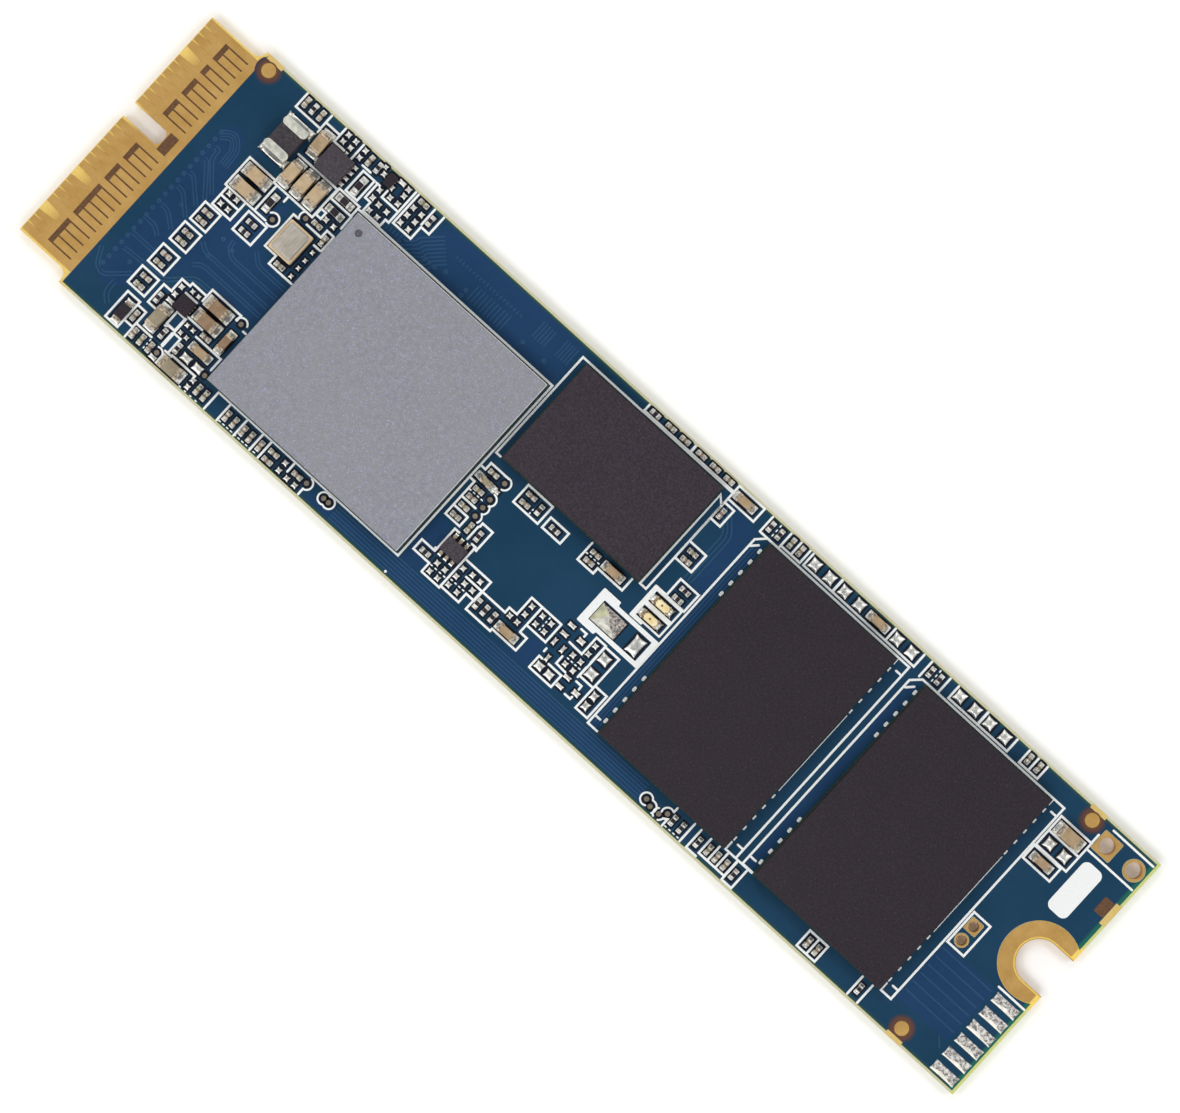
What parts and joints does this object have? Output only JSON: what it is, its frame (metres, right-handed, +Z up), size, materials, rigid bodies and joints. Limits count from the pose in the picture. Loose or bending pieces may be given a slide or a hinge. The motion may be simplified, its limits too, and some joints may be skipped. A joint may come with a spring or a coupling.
{
  "type": "solid state drive",
  "caption": "Bare solid state drive card: keyed gold edge connector, controller, memory and flash chips, small parts, and a half-round mounting notch.",
  "frame": {"origin": "middle of the card's outline, on its underside", "axes": "+X along the card from the edge connector towards the mounting notch, +Y across the card, +Z up out of the component side"},
  "size_m": [0.0892, 0.0218, 0.0022],
  "materials": {
    "card": "semi-gloss blue solder mask over glass laminate",
    "gold": "satin gold plating",
    "solder": "bright solder",
    "carrier": "dull green-black laminate",
    "grey_mould": "fine matt grey with a slight sparkle",
    "black_mould": "fine-grained matt charcoal mould compound",
    "ferrite": "matt dark ferrite",
    "ceramic": "fired tan-brown ceramic with tinned ends",
    "porcelain": "pale fired ceramic",
    "lid": "satin nickel",
    "lens": "clear pale-yellow resin",
    "silkscreen": "matt white ink"
  },
  "bodies": {
    "root": {"bottom_contacts_long_row": "gold", "bottom_contacts_short_row": "gold", "capacitor_01": "ceramic", "capacitor_02": "ceramic", "capacitor_03": "ceramic", "capacitor_04": "ceramic", "capacitor_05": "ceramic", "capacitor_06": "ceramic", "capacitor_07": "ceramic", "capacitor_08": "ceramic", "capacitor_09": "ceramic", "capacitor_10": "ceramic", "capacitor_11": "ceramic", "capacitor_12": "ceramic", "capacitor_13": "ceramic", "capacitor_14": "ceramic", "capacitor_15": "ceramic", "capacitor_16": "ceramic", "capacitor_17": "ceramic", "capacitor_18": "ceramic", "circuit_card": "card", "controller_body": "grey_mould", "controller_carrier": "carrier", "controller_solder_balls": "solder", "crystal_base": "porcelain", "crystal_lid": "lid", "flash_1_body": "black_mould", "flash_1_carrier": "carrier", "flash_1_solder_balls": "solder", "flash_2_body": "black_mould", "flash_2_carrier": "carrier", "flash_2_solder_balls": "solder", "indicator_light_1": "lens", "indicator_light_2": "lens", "inductor_core": "ferrite", "inductor_terminal_high": "solder", "inductor_terminal_low": "solder", "logic_gate": "black_mould", "memory_body": "black_mould", "memory_carrier": "carrier", "memory_solder_balls": "solder", "notch_plating": "gold", "power_hole_round": "gold", "power_hole_square": "gold", "power_switch": "black_mould", "protection_diode": "black_mould", "reset_chip": "black_mould", "service_land_1": "solder", "service_land_2": "solder", "service_land_3": "solder", "service_land_4": "solder", "service_land_5": "solder", "service_land_6": "solder", "test_hole_round": "gold", "test_hole_square": "gold", "top_contacts_long_row": "gold", "top_contacts_short_row": "gold", "voltage_regulator": "black_mould"}
  },
  "joints": []
}
